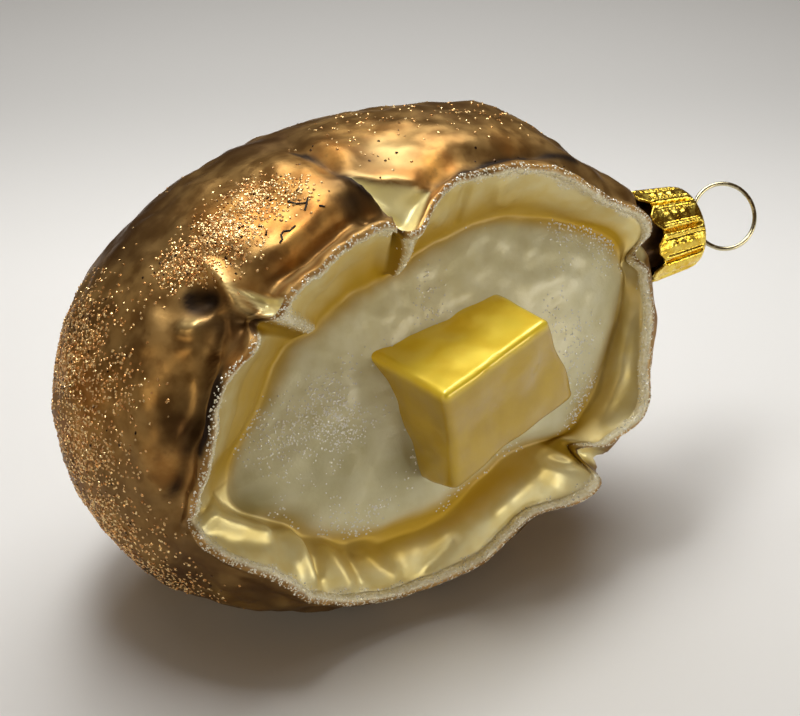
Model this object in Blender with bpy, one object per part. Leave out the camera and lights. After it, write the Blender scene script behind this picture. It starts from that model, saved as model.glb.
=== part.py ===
"""A blown-glass hanging ornament in the form of a baked potato with a pat of butter.

The potato lies on its side with its opening turned towards -Y.  Three solids: the moulded
glass potato with its neck, the stamped metal cap on the neck, and the wire hanging ring.
The world origin is the middle of the small flat spot that the potato rests on.
"""
from math import radians

import bmesh
import bpy
import numpy as np
from mathutils import Matrix, Vector

MM = 0.001

# ---- the moulded body: an egg-like form, half sizes along its length, width and depth ----
HALF_LENGTH = 45.8 * MM
HALF_WIDTH = 34.4 * MM
HALF_DEPTH = 31.6 * MM
SQUARENESS = 2.13           # 2 is a true ellipsoid, more is boxier
LENGTH_TILT = radians(6.7)  # the cap end is carried a little higher than the other end
FACE_TILT = radians(17.0)   # the opening looks this far above the horizontal
REST_CUT = 1.15 * MM        # what the flat resting spot takes off the round underside
REST_BLOCK = 60 * MM        # side of the block that cuts it
AROUND = 84                 # columns of faces round the opening's axis

# ---- the opening: angles are (round the opening, away from its axis), in degrees ----
LIP_RADIUS = 0.8 * MM
FLESH_CROWN = 16.4 * MM     # height of the flesh at the opening's axis above the body's middle
FLESH_FALL = 2.4            # how late the flesh drops towards its edge
GROOVE_WIDTH = 2.6 * MM     # of the sunk line behind a raised lip
WALL_SAG = 0.5 * MM         # how much the flaps' inner walls are hollowed
WALL_BOW = 1.15             # how late the inner walls rise from the flesh, 1 is straight
TEAR_EDGE = 2.2             # degrees over which a tear falls from the skin to its depth
TEAR_FALL = 1.5             # how softly it starts to fall
SKIN_CROWDING = 1.25        # how much closer the skin's rings lie near the lip


class Flap:
    """One flap of the split skin; its values are spaced evenly from start to end."""

    def __init__(self, start, end, rim, proud, foot, foot_height, groove):
        self.angles = np.linspace(start, end, len(rim))
        self.rim = rim                  # degrees away from the opening's axis
        self.proud = proud              # mm that the lip stands above the skin
        self.foot = foot                # mm from the axis to where the flesh begins
        self.foot_height = foot_height  # mm above the body's middle
        self.groove = groove            # mm that the skin sinks just behind the lip


FLAPS = (
    Flap(-168, -46, rim=(64.3, 60.2, 66, 69.3, 66, 63.6, 65.3), proud=(0.3, 0.4, 0, 0.2, 0.3, -1, 1.4),
         foot=(30.5, 27.3, 25.3, 23, 22, 21.8, 26), foot_height=(12.2, 11), groove=0.3),
    Flap(-40, 3, rim=(65, 67.6, 68.5, 70, 72.6), proud=(-0.9, 1.2, -0.5, -0.6, -0.3),
         foot=(30, 31.7, 34, 36.6, 38.7), foot_height=(11, 11), groove=0.3),
    Flap(6, 88, rim=(73.5, 66, 62.3, 56, 50, 41.5), proud=(0.8, 0, 0, 0.3, 0.4, 0),
         foot=(38.9, 31.5, 25.5, 19.8, 16, 14.6), foot_height=(11, 14), groove=0.8),
    Flap(91, 141, rim=(42.8, 45, 46, 48.3), proud=(0.6, 1, 1, 0.6),
         foot=(14.6, 14.5, 14.9, 16.8), foot_height=(14, 13), groove=1.4),
    Flap(146, 189, rim=(49.5, 53.8, 56, 63.5), proud=(0.3, 0.9, 0.9, 0.4),
         foot=(18.5, 20.5, 22.8, 29.5), foot_height=(12.7, 12.2), groove=1.3),
)

# ---- tears between flaps: three corners (round, away) in degrees and a depth in mm ----
TEARS = (
    (((97, 62), (74, 51), (89, 39)), 2.4),
    (((137, 60), (133, 46), (144, 46)), 2.2),
    (((-42, 84), (-37.5, 60), (-48, 60)), 3.4),
    (((3, 84), (8, 69), (0, 69)), 1.8),
)

# ---- swellings and hollows of the skin: (round, away) in degrees, height and reach in mm ----
SWELLINGS = (
    ((13, 79), 1.7, 5.0),
    ((28, 83), -1.3, 7.0),
    ((47, 88), 1.0, 6.0),
    ((-62, 70), -1.2, 6.0),
    ((142, 62), -2.4, 2.0),
    ((128, 64), 0.8, 6.0),
    ((104, 62), 0.7, 6.0),
    ((62, 66), 0.7, 7.0),
    ((155, 120), -0.9, 5.0),
    ((70, 128), -0.8, 4.5),
    ((-110, 118), -0.9, 5.0),
    ((-20, 125), -0.8, 5.0),
)

# ---- the pat of butter, a drafted block; its corner nearest the eye and its two directions ----
BUTTER_CORNER = Vector((-1.9, -0.1, 28.4)) * MM   # along length, width and depth of the body
BUTTER_UP = Vector((-0.065, 0.925, 0.374))        # normal of the face that looks up
BUTTER_FRONT = Vector((0.236, -0.350, 0.907))     # normal of the face that looks out
BUTTER_LONG = 20.7 * MM
BUTTER_TALL = 16.5 * MM
BUTTER_DEEP = 18.0 * MM
BUTTER_DRAFT = 0.18                               # how much longer it is at its lower side
BUTTER_TOE = 0.5                                  # how much taller it is at its root
BUTTER_ROUND = 0.9 * MM

# ---- neck, cap and ring: on one axis along +X ----
CAP_AXIS_Y = 3.0 * MM       # of the cap's axis, from the body's middle
CAP_AXIS_Z = 6.0 * MM
CAP_START = 48.2 * MM       # where the petals' tips reach, from the body's middle
CAP_LENGTH = 9.5 * MM
CAP_TOP_RADIUS = 6.3 * MM
CAP_SKIRT_RADIUS = 7.2 * MM
CAP_WALL = 0.4 * MM
CAP_SHOULDER = 0.9 * MM     # width of the rounding between the disc and the skirt
CAP_WAIST = 0.45            # place of the skirt's middle ring, from its tips to the disc
PETALS = 9
PETAL_COLUMNS = 6
PETAL_POINT = 1.6 * MM
PETAL_GROOVE = 0.5 * MM
CAP_CREASE = radians(30)    # bends sharper than this stay sharp edges
NECK_RADIUS = 5.0 * MM
NECK_START = 40.0 * MM
NECK_TO_DISC = 2.7 * MM     # clear space between the neck's end and the disc's face
WIRE_RADIUS = 0.35 * MM
RING_RADIUS = 5.15 * MM
RING_CENTRE = 65.1 * MM     # along the cap's axis, from the body's middle
RING_LEAN = radians(11.5)   # away from the cap's axis
RING_TURN = radians(-33.4)  # about the cap's axis
RING_MOUTH = radians(25.0)  # half the ring's missing arc
RING_STEPS = 36
LEG_SPREAD = 2.2 * MM       # from the axis to each leg and its hole
# the leg's way through the disc and outwards under it: (outwards, from the disc)
LEG_PATH = ((0, 1.0 * MM), (0, -1.2 * MM), (0.45 * MM, -1.65 * MM), (1.3 * MM, -1.75 * MM))
HOLE_RADIUS = 0.75 * MM
HOLE_COLUMNS = 12
HOLE_REACH = 3 * MM         # of the hole cutters, to each side of the disc

FRONT = Vector((0, -np.cos(FACE_TILT), np.sin(FACE_TILT)))
UP = Vector((0, np.sin(FACE_TILT), np.cos(FACE_TILT)))
LENGTH_AXIS = Vector((np.cos(LENGTH_TILT), 0, 0)) + UP * np.sin(LENGTH_TILT)
WIDTH_AXIS = Vector((-np.sin(LENGTH_TILT), 0, 0)) + UP * np.cos(LENGTH_TILT)


def body_frame():
    """The matrix from the body's own axes (length, width, depth) to the world."""
    turn = Matrix((LENGTH_AXIS, WIDTH_AXIS, FRONT)).transposed()
    half = Vector((HALF_LENGTH, HALF_WIDTH, HALF_DEPTH))
    down = turn.transposed() @ Vector((0, 0, -1))
    reach = Vector([h * h * d for h, d in zip(half, down)])
    reach /= np.sqrt(sum((h * d) ** 2 for h, d in zip(half, down)))
    lowest = turn @ reach
    place = Vector((-lowest.x, -lowest.y, -lowest.z - REST_CUT))
    return Matrix.Translation(place) @ turn.to_4x4()


# ---------------------------------------------------------------- values round the opening
def around(angles, values, asked):
    """A smooth closed curve through values at the given angles (Catmull-Rom), in degrees."""
    order = np.argsort(np.mod(angles, 360))
    x = np.mod(angles, 360)[order]
    y = np.asarray(values, float)[order]
    x = np.concatenate((x[-2:] - 360, x, x[:2] + 360))
    y = np.concatenate((y[-2:], y, y[:2]))
    slope = np.gradient(y, x)
    a = np.mod(asked, 360)
    i = np.clip(np.searchsorted(x, a, side="right") - 1, 1, len(x) - 3)
    span = x[i + 1] - x[i]
    t = (a - x[i]) / span
    start = (1 + 2 * t) * (1 - t) ** 2 * y[i] + t * (1 - t) ** 2 * span * slope[i]
    return start + t * t * (3 - 2 * t) * y[i + 1] + t * t * (t - 1) * span * slope[i + 1]


def flap_value(name, asked):
    angles, values = [], []
    for flap in FLAPS:
        own = getattr(flap, name)
        if name == "foot_height":
            own = np.linspace(own[0], own[1], len(flap.angles))
        if name == "groove":
            own = np.full(len(flap.angles), own)
        angles.extend(flap.angles)
        values.extend(own)
    return around(np.array(angles), values, asked)


# ---------------------------------------------------------------- the skin
def on_map(turn, away):
    """A flat map of the skin seen along the opening's axis; one unit is one degree."""
    return away * np.cos(np.radians(turn)), away * np.sin(np.radians(turn))


def inside_triangle(corners, turn, away):
    """How far inside a triangle on the map, 0 at its sides and outside, in degrees."""
    u, v = on_map(turn, away)
    points = [on_map(*corner) for corner in corners]
    middle_u = sum(p[0] for p in points) / 3
    middle_v = sum(p[1] for p in points) / 3
    inner = np.full(np.shape(u), np.inf)
    for (au, av), (bu, bv) in zip(points, points[1:] + points[:1]):
        nu, nv = av - bv, bu - au
        size = np.hypot(nu, nv) * np.sign((middle_u - au) * nu + (middle_v - av) * nv)
        inner = np.minimum(inner, ((u - au) * nu + (v - av) * nv) / size)
    return np.maximum(inner, 0)


def skin_radius(turn, away):
    """Distance of the skin from the body's middle, for angles in degrees."""
    t, a = np.radians(turn), np.radians(away)
    x = np.abs(np.sin(a) * np.cos(t)) / HALF_LENGTH
    y = np.abs(np.sin(a) * np.sin(t)) / HALF_WIDTH
    z = np.abs(np.cos(a)) / HALF_DEPTH
    radius = (x ** SQUARENESS + y ** SQUARENESS + z ** SQUARENESS) ** (-1 / SQUARENESS)
    direction = np.stack((np.sin(a) * np.cos(t), np.sin(a) * np.sin(t), np.cos(a)), -1)
    for (turn0, away0), height, reach in SWELLINGS:
        t0, a0 = radians(turn0), radians(away0)
        middle = np.array((np.sin(a0) * np.cos(t0), np.sin(a0) * np.sin(t0), np.cos(a0)))
        gap = np.arccos(np.clip(direction @ middle, -1, 1)) * radius
        radius = radius + height * MM * np.exp(-(gap / (reach * MM)) ** 2)
    for corners, depth in TEARS:
        inner = inside_triangle(corners, turn, away)
        radius = radius - depth * MM * (1 - np.exp(-(inner / TEAR_EDGE) ** TEAR_FALL))
    return radius


# ---------------------------------------------------------------- rings from crown to back
def ring_plan(flesh, wall, lip, skin):
    """Zone and place in the zone of every ring of vertices, from the flesh to the back."""
    plan = [("flesh", (i + 1) / flesh) for i in range(flesh)]
    plan += [("wall", (i + 1) / wall) for i in range(wall - 1)]
    plan += [("lip", i / (lip - 1)) for i in range(lip)]
    plan += [("skin", (i + 1) / (skin + 1)) for i in range(skin)]
    return plan


def ring_points(zone, s, turn):
    """Points of one ring, in the body's own axes, for an array of angles in degrees."""
    rim = flap_value("rim", turn)
    foot = flap_value("foot", turn) * MM
    foot_height = flap_value("foot_height", turn) * MM
    proud = flap_value("proud", turn) * MM
    rim_radius = skin_radius(turn, rim) + proud
    out = np.array((np.sin(np.radians(rim)), np.cos(np.radians(rim))))
    inward = np.array((-out[1], out[0]))
    middle = out * (rim_radius - LIP_RADIUS)
    if zone == "flesh":
        flat = foot * s
        height = FLESH_CROWN - (FLESH_CROWN - foot_height) * s ** FLESH_FALL
    elif zone == "wall":
        inner = middle - out * LIP_RADIUS
        flat = foot + (inner[0] - foot) * s
        height = foot_height + (inner[1] - foot_height) * s ** WALL_BOW
        height -= WALL_SAG * np.sin(np.pi * s) ** 2
    elif zone == "lip":
        swing = np.pi * s
        flat, height = middle + LIP_RADIUS * (-np.cos(swing) * out + np.sin(swing) * inward)
    else:
        away = rim + (180 - rim) * s ** SKIN_CROWDING
        gap = np.radians(away - rim) * rim_radius
        groove = flap_value("groove", turn) * MM
        radius = skin_radius(turn, away) + proud * np.exp(-(gap / GROOVE_WIDTH) ** 2)
        radius -= groove * (gap / GROOVE_WIDTH) ** 2 * np.exp(1 - (gap / GROOVE_WIDTH) ** 2)
        flat = radius * np.sin(np.radians(away))
        height = radius * np.cos(np.radians(away))
    t = np.radians(turn)
    return np.stack((flat * np.cos(t), flat * np.sin(t), height), -1)


# ---------------------------------------------------------------- making objects
def new_object(name, bm, crease=radians(40)):
    bmesh.ops.recalc_face_normals(bm, faces=bm.faces)
    mesh = bpy.data.meshes.new(name)
    bm.to_mesh(mesh)
    bm.free()
    mesh.shade_smooth()
    mesh.set_sharp_from_angle(angle=crease)
    obj = bpy.data.objects.new(name, mesh)
    bpy.context.scene.collection.objects.link(obj)
    return obj


def paint(obj, name, colour, roughness, metallic):
    material = bpy.data.materials.new(name)
    material.use_nodes = True
    shader = material.node_tree.nodes["Principled BSDF"]
    shader.inputs["Base Color"].default_value = (*colour, 1)
    shader.inputs["Roughness"].default_value = roughness
    shader.inputs["Metallic"].default_value = metallic
    obj.data.materials.append(material)


def join_solid(target, tool, operation):
    tool.hide_render = True
    tool.display_type = "WIRE"
    boolean = target.modifiers.new(tool.name, "BOOLEAN")
    boolean.operation = operation
    boolean.object = tool
    boolean.solver = "EXACT"


def make_body(frame):
    """The skin, the flaps and the flesh, on a sphere whose poles lie on the opening's axis."""
    plan = ring_plan(flesh=7, wall=6, lip=4, skin=19)
    bm = bmesh.new()
    bmesh.ops.create_uvsphere(bm, u_segments=AROUND, v_segments=len(plan) + 1, radius=1)
    rings = {}
    for vertex in bm.verts:
        away = np.arccos(np.clip(vertex.co.z, -1, 1)) / np.pi * (len(plan) + 1)
        rings.setdefault(int(round(away)), []).append(vertex)
    for number, vertices in rings.items():
        if number == 0:
            vertices[0].co = (0, 0, FLESH_CROWN)
        elif number > len(plan):
            vertices[0].co = (0, 0, -skin_radius(np.array(0.0), np.array(180.0)))
        else:
            turn = np.degrees([np.arctan2(v.co.y, v.co.x) for v in vertices])
            for vertex, point in zip(vertices, ring_points(*plan[number - 1], turn)):
                vertex.co = point
    bm.transform(frame)
    return new_object("glass_potato", bm)


def make_butter(frame):
    """The block, lying half in the flesh, longer along its lower side."""
    up = BUTTER_UP.normalized()
    side = up.cross(BUTTER_FRONT).normalized()
    front = side.cross(up)
    bm = bmesh.new()
    bmesh.ops.create_cube(bm, size=1)
    for vertex in bm.verts:
        along, tall, deep = vertex.co + Vector((0.5, -0.5, -0.5))
        along *= 1 - BUTTER_DRAFT * tall
        tall *= 1 - BUTTER_TOE * deep
        vertex.co = side * along * BUTTER_LONG + up * tall * BUTTER_TALL + front * deep * BUTTER_DEEP
    bmesh.ops.bevel(bm, geom=bm.edges, offset=BUTTER_ROUND, segments=2, profile=0.5,
                    affect="EDGES", material=-1)
    bmesh.ops.translate(bm, verts=bm.verts, vec=BUTTER_CORNER)
    bm.transform(frame)
    return new_object("butter_form", bm)


def along_axis(axis_frame, radius, start, end, name, columns=28):
    """A round bar on the cap's axis."""
    bm = bmesh.new()
    bmesh.ops.create_cone(bm, cap_ends=True, segments=columns, radius1=radius, radius2=radius,
                          depth=end - start)
    bmesh.ops.translate(bm, verts=bm.verts, vec=(0, 0, (start + end) / 2))
    bm.transform(axis_frame)
    return new_object(name, bm)


def make_cap(axis_frame):
    """A thin crown cap: a disc, a rounded shoulder and a skirt of pointed petals."""
    columns = PETALS * PETAL_COLUMNS
    end = CAP_START + CAP_LENGTH
    outer = (  # (radius, place along the axis, how far the petals show)
        (CAP_TOP_RADIUS / 2, end, 0), (CAP_TOP_RADIUS - CAP_SHOULDER, end, 0),
        (CAP_TOP_RADIUS - 0.3 * CAP_SHOULDER, end - 0.3 * CAP_SHOULDER, 0.3),
        (CAP_TOP_RADIUS, end - 1.2 * CAP_SHOULDER, 1),
        ((CAP_TOP_RADIUS + CAP_SKIRT_RADIUS) / 2, CAP_START + CAP_WAIST * CAP_LENGTH, 1),
        (CAP_SKIRT_RADIUS, CAP_START, 1))
    inner = [(radius - CAP_WALL, min(place, end - CAP_WALL), show) for radius, place, show in outer]
    bm = bmesh.new()
    rings = []
    for number, (radius, place, show) in enumerate((*outer, *reversed(inner))):
        ring = []
        for column in range(columns):
            turn = 2 * np.pi * column / columns
            from_gap = abs((column + PETAL_COLUMNS / 2) % PETAL_COLUMNS - PETAL_COLUMNS / 2)
            sunk = PETAL_GROOVE * show * (from_gap == 0)
            at_edge = number in (len(outer) - 1, len(outer))
            back = PETAL_POINT * (1 - 2 * from_gap / PETAL_COLUMNS) * at_edge
            bar = radius - sunk
            ring.append(bm.verts.new((bar * np.cos(turn), bar * np.sin(turn), place + back)))
        rings.append(ring)
    for upper, lower in zip(rings, rings[1:]):
        for column in range(columns):
            after = (column + 1) % columns
            bm.faces.new((upper[column], lower[column], lower[after], upper[after]))
    bm.faces.new(rings[0])
    bm.faces.new(rings[-1])
    bm.transform(axis_frame)
    return new_object("cap", bm, crease=CAP_CREASE)


def ring_frame(axis_frame):
    """The ring's own axes: +Z along the cap's axis before its lean, the ring flat in XZ."""
    place = Matrix.Translation((0, 0, RING_CENTRE))
    return axis_frame @ place @ Matrix.Rotation(RING_TURN, 4, "Z") @ Matrix.Rotation(RING_LEAN, 4, "X")


def leg_sides():
    """Directions from the cap's axis to its two holes, first leg first."""
    across = Matrix.Rotation(RING_TURN, 3, "Z") @ Vector((1, 0, 0))
    return -across, across


def make_ring(axis_frame):
    """A wire loop, open towards the cap, whose two legs pass the disc and turn outwards."""
    frame = ring_frame(axis_frame)
    disc = CAP_START + CAP_LENGTH
    first, second = [[axis_frame @ (side * (LEG_SPREAD + outwards) + Vector((0, 0, disc + place)))
                      for outwards, place in LEG_PATH] for side in leg_sides()]
    loop = []
    for step in range(RING_STEPS + 1):
        swing = RING_MOUTH + (2 * np.pi - 2 * RING_MOUTH) * step / RING_STEPS
        loop.append(frame @ (Vector((-np.sin(swing), 0, -np.cos(swing))) * RING_RADIUS))
    points = first[::-1] + loop + second
    curve = bpy.data.curves.new("hanger_ring", "CURVE")
    curve.dimensions = "3D"
    curve.bevel_depth = WIRE_RADIUS
    curve.bevel_resolution = 2
    curve.use_fill_caps = True
    spline = curve.splines.new("POLY")
    spline.points.add(len(points) - 1)
    for point, place in zip(spline.points, points):
        point.co = (*place, 1)
    obj = bpy.data.objects.new("hanger_ring", curve)
    bpy.context.scene.collection.objects.link(obj)
    return obj


def main():
    for obj in list(bpy.data.objects):
        bpy.data.objects.remove(obj, do_unlink=True)
    frame = body_frame()
    body_middle = frame.translation
    axis_place = body_middle + Vector((0, CAP_AXIS_Y, CAP_AXIS_Z))
    axis_frame = Matrix.Translation(axis_place) @ Matrix.Rotation(radians(90), 4, "Y")

    body = make_body(frame)
    join_solid(body, make_butter(frame), "UNION")
    disc = CAP_START + CAP_LENGTH
    join_solid(body, along_axis(axis_frame, NECK_RADIUS, NECK_START, disc - NECK_TO_DISC, "neck_form"),
               "UNION")
    bm = bmesh.new()
    bmesh.ops.create_cube(bm, size=REST_BLOCK)
    bmesh.ops.translate(bm, verts=bm.verts, vec=(0, 0, -REST_BLOCK / 2))
    join_solid(body, new_object("rest_plane", bm), "DIFFERENCE")
    paint(body, "lacquered_glass", (0.36, 0.20, 0.09), 0.25, 0.7)

    cap = make_cap(axis_frame)
    for number, side in enumerate(leg_sides(), start=1):
        hole_frame = axis_frame @ Matrix.Translation(side * LEG_SPREAD)
        hole = along_axis(hole_frame, HOLE_RADIUS, disc - HOLE_REACH, disc + HOLE_REACH,
                          f"hole_form_{number}", columns=HOLE_COLUMNS)
        join_solid(cap, hole, "DIFFERENCE")
    paint(cap, "gilt_cap", (0.85, 0.55, 0.15), 0.25, 1.0)

    ring = make_ring(axis_frame)
    paint(ring, "gilt_wire", (0.75, 0.62, 0.35), 0.25, 1.0)


main()
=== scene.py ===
"""The looks of a blown-glass ornament in the form of a baked potato with a pat of butter.

Lengths are in millimetres until a mesh is finished, and the world is in metres.  A place on the
body is given by two angles in degrees: how far round the opening's axis, counted from the cap's
side towards the top, and how far away from that axis.
"""
from math import cos, pi, radians, sin

import bmesh
import bpy
import numpy as np
from mathutils import Matrix, Vector, noise
from mathutils.bvhtree import BVHTree


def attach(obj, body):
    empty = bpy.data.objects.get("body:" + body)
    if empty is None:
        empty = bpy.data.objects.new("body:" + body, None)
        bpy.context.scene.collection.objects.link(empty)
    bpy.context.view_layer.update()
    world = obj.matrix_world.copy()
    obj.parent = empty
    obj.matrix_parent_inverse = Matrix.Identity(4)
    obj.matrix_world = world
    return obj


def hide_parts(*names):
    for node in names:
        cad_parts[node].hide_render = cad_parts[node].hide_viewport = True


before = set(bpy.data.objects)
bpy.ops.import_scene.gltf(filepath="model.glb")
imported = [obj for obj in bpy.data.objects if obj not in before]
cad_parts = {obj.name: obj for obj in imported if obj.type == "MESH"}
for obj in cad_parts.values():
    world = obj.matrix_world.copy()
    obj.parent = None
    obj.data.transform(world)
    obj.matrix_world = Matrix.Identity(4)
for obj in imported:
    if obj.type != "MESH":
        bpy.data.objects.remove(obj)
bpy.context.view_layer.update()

MM = 0.001

# ------------------------------------------------------------------ sizes shared with the solids
HALF_LENGTH, HALF_WIDTH, HALF_DEPTH = 45.8, 34.4, 31.6
SQUARENESS = 2.13
LENGTH_TILT, FACE_TILT = radians(6.7), radians(17.0)
REST_CUT = 1.15
LIP_RADIUS = 0.8
FLESH_CROWN, FLESH_FALL = 16.4, 2.4
GROOVE_WIDTH = 2.6
WALL_SAG, WALL_BOW = 0.5, 1.15
TEAR_EDGE, TEAR_FALL = 2.2, 1.5
SKIN_CROWDING = 1.25

BUTTER_CORNER = np.array((-1.9, -0.1, 28.4))
BUTTER_UP = Vector((-0.065, 0.925, 0.374)).normalized()
BUTTER_FRONT = Vector((0.236, -0.350, 0.907))
BUTTER_LONG, BUTTER_TALL, BUTTER_DEEP = 20.7, 16.5, 18.0
BUTTER_DRAFT, BUTTER_TOE = 0.18, 0.5

CAP_AXIS_Y, CAP_AXIS_Z = 3.0, 6.0
CAP_START, CAP_LENGTH = 48.2, 9.5
CAP_TOP_RADIUS, CAP_SKIRT_RADIUS, CAP_WALL, CAP_SHOULDER = 6.3, 7.2, 0.4, 0.9
PETALS, PETAL_POINT, PETAL_GROOVE = 9, 1.6, 0.5
NECK_RADIUS, NECK_START, NECK_TO_DISC = 5.0, 40.0, 2.7
WIRE_RADIUS, RING_RADIUS, RING_CENTRE = 0.35, 5.15, 65.1
RING_LEAN, RING_TURN, RING_MOUTH = radians(11.5), radians(-33.4), radians(25.0)
LEG_SPREAD = 2.2
LEG_PATH = ((0, 1.0), (0, -1.2), (0.45, -1.65), (1.3, -1.75))


class Flap:
    """One flap of the split skin; its values are spaced evenly from start to end.

    rim is in degrees away from the axis, foot and foot_height say where the flesh begins,
    proud is how far the lip stands out, groove how deep the skin sinks behind it, pillow how
    far the inner wall swells, yolk how strongly its foot is sprayed yellow, frost how much
    of the wall is frosted, and shade how much painted shade darkens its wall.
    """

    def __init__(self, start, end, rim, proud, foot, foot_height, groove, pillow, yolk, frost, shade):
        self.angles = np.linspace(start, end, len(rim))
        self.rim, self.proud, self.foot = rim, proud, foot
        self.foot_height = np.interp(self.angles, (start, end), foot_height)
        self.groove = np.full(len(rim), groove)
        self.frost = np.full(len(rim), frost)
        self.shade = np.full(len(rim), shade)
        self.pillow = np.interp(self.angles, np.linspace(start, end, len(pillow)), pillow)
        self.yolk = np.interp(self.angles, np.linspace(start, end, len(yolk)), yolk)


FLAPS = (
    Flap(-168, -46, rim=(64.3, 60.2, 66, 69.3, 66, 63.6, 65.3), proud=(0.3, 0.4, 0, 0.2, 0.3, -1, 1.4),
         foot=(30.5, 27.3, 25.3, 23, 22, 21.8, 26), foot_height=(12.2, 11), groove=0.3,
         pillow=(0.9, 1.1, 1.3), yolk=(0.4, 0.75, 0.95, 1.0, 0.8), frost=0.1, shade=0.0),
    Flap(-40, 3, rim=(65, 67.6, 68.5, 70, 72.6), proud=(-0.9, 1.2, -0.5, -0.6, -0.3),
         foot=(30, 31.7, 34, 36.6, 38.7), foot_height=(11, 11), groove=0.3,
         pillow=(0.9, 1.2, 0.8), yolk=(1.0, 0.45, 0.3), frost=0.06, shade=0.4),
    Flap(6, 88, rim=(73.5, 66, 62.3, 56, 50, 41.5), proud=(0.8, 0, 0, 0.3, 0.4, 0),
         foot=(38.9, 31.5, 25.5, 19.8, 16, 14.6), foot_height=(11, 14), groove=0.8,
         pillow=(0.7, 0.7, 0.5), yolk=(0.8, 0.9, 0.85, 0.95, 1.0), frost=0.1, shade=0.2),
    Flap(91, 141, rim=(42.8, 45, 46, 48.3), proud=(0.6, 1, 1, 0.6),
         foot=(14.6, 14.5, 14.9, 16.8), foot_height=(14, 13), groove=1.4,
         pillow=(0.3, 0.3, 0.3), yolk=(1.0, 0.9, 0.9), frost=0.14, shade=0.08),
    Flap(146, 189, rim=(49.5, 53.8, 56, 63.5), proud=(0.3, 0.9, 0.9, 0.4),
         foot=(18.5, 20.5, 22.8, 29.5), foot_height=(12.7, 12.2), groove=1.3,
         pillow=(0.3, 0.3, 0.3), yolk=(0.9, 0.9, 0.7), frost=0.1, shade=0.24),
)

TEARS = (  # three corners on the map and a depth
    (((97, 62), (74, 51), (89, 39)), 2.4),
    (((137, 60), (133, 46), (144, 46)), 2.2),
    (((-42, 84), (-37.5, 60), (-48, 60)), 3.4),
    (((3, 84), (8, 69), (0, 69)), 1.8),
)

SWELLINGS = (  # place on the map, height and reach
    ((13, 79), 1.7, 5.0), ((28, 83), -1.3, 7.0), ((47, 88), 1.0, 6.0), ((-62, 70), -1.2, 6.0),
    ((142, 62), -2.4, 2.0), ((128, 64), 0.8, 6.0), ((104, 62), 0.7, 6.0), ((62, 66), 0.7, 7.0),
    ((155, 120), -0.9, 5.0), ((70, 128), -0.8, 4.5), ((-110, 118), -0.9, 5.0), ((-20, 125), -0.8, 5.0),
)

# ------------------------------------------------------------------ the finer relief of the glass
AROUND = 440
FLESH_RINGS, WALL_RINGS, LIP_RINGS, SKIN_RINGS = 40, 26, 10, 138
JUNCTION_RINGS, SOFTENINGS = 3, 14


class Line:
    """A ridge, a crease if its height is below 0, or a mark of paint, painted shade or painted highlight whose
    strength is its height.

    Its ends fade out unless it is blunt.
    """

    def __init__(self, path, height, width, sharp=2.0, blunt=False):
        self.path, self.height, self.width, self.sharp = path, height, width, sharp
        self.blunt = blunt


SKIN_LINES = (  # paths are places on the map
    Line(((96, 58), (97.5, 66.5), (99.4, 74.4), (95.2, 92)), -1.0, 2.0, 1.3),
    Line(((92, 60), (92.5, 68), (93, 78)), 0.6, 2.2),
    Line(((104, 60), (105, 68), (106, 78)), 0.4, 2.4),
    Line(((97, 62), (94.5, 53), (90.5, 43)), 1.1, 0.8, 1.4),
    Line(((99, 57), (98.5, 51), (98.5, 46)), -1.1, 1.4),
    Line(((97, 53), (102.4, 50.8), (114.2, 49.2), (121.9, 49.6), (133, 53.5)), -0.7, 0.9, 1.4),
    Line(((104, 56), (114, 54), (122, 54.5), (130, 57)), 0.35, 1.5),
    Line(((78, 50.4), (66, 53.1), (56, 58.1), (43.9, 65.6), (35.5, 70)), -0.8, 1.0, 1.4),
    Line(((134, 67), (136, 61), (139, 56.5), (145, 51.5)), 1.2, 0.8, 1.4),
    Line(((143, 58), (148, 57), (153, 57.5)), -1.2, 1.0, 1.4),
    Line(((150, 57), (157.9, 56.8), (168.2, 57.4), (176, 61)), -1.6, 0.8, 1.3),
    Line(((152, 61.5), (162, 61), (172, 62.5), (181, 66)), -0.5, 1.8),
    Line(((158, 59), (166, 59.2), (174, 61.8)), 0.4, 0.7),
    Line(((146, 72), (151, 69.6), (160, 67), (170, 66.5), (178, 69)), 0.5, 2.4),
    Line(((147, 60), (149, 62), (149, 65)), 0.8, 1.1),
    Line(((120, 52), (124, 58), (126, 66)), 0.25, 2.0),
)
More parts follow.
